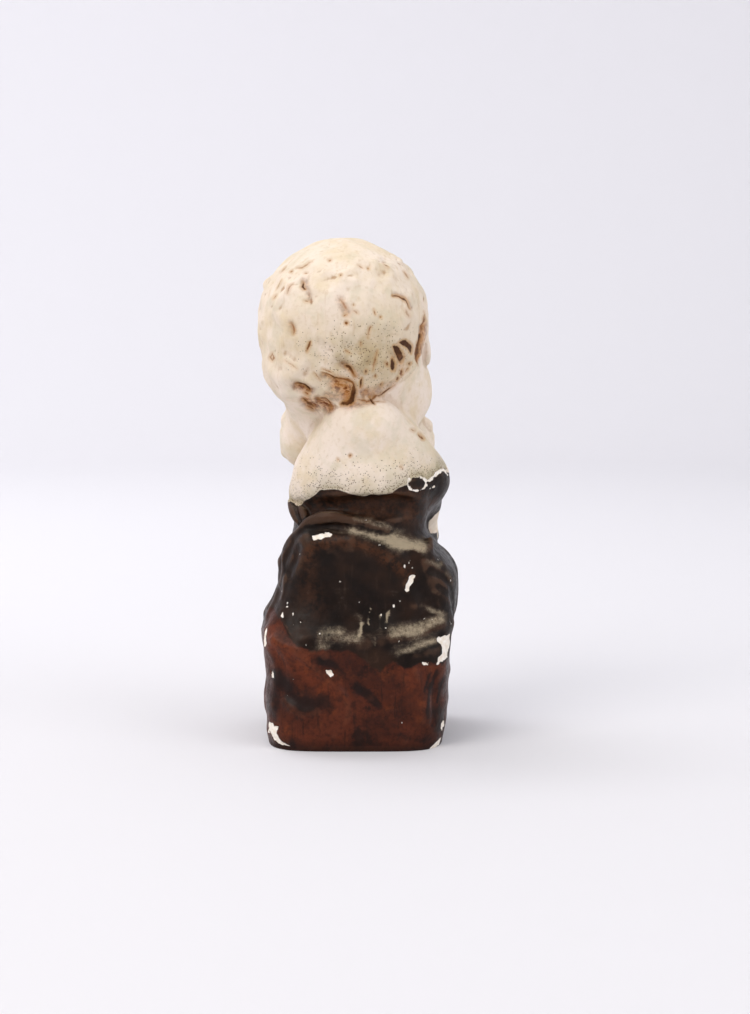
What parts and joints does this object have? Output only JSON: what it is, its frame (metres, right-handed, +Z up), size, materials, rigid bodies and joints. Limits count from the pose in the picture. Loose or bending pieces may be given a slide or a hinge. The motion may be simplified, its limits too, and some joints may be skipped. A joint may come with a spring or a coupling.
{
  "type": "plaster bust",
  "caption": "Painted plaster bust of a child resting its head on its fists above a draped, rough block; one solid cast with a flat underside",
  "frame": {"origin": "middle of the flat underside, under the centre of the bounding box", "axes": "+Z up, +Y the way the face looks, +X towards the figure's right side"},
  "size_m": [0.121, 0.1202, 0.2999],
  "materials": {
    "plaster": "matte painted plaster, cream above and dark brown below"
  },
  "bodies": {
    "root": {"bust": "plaster"}
  },
  "joints": []
}
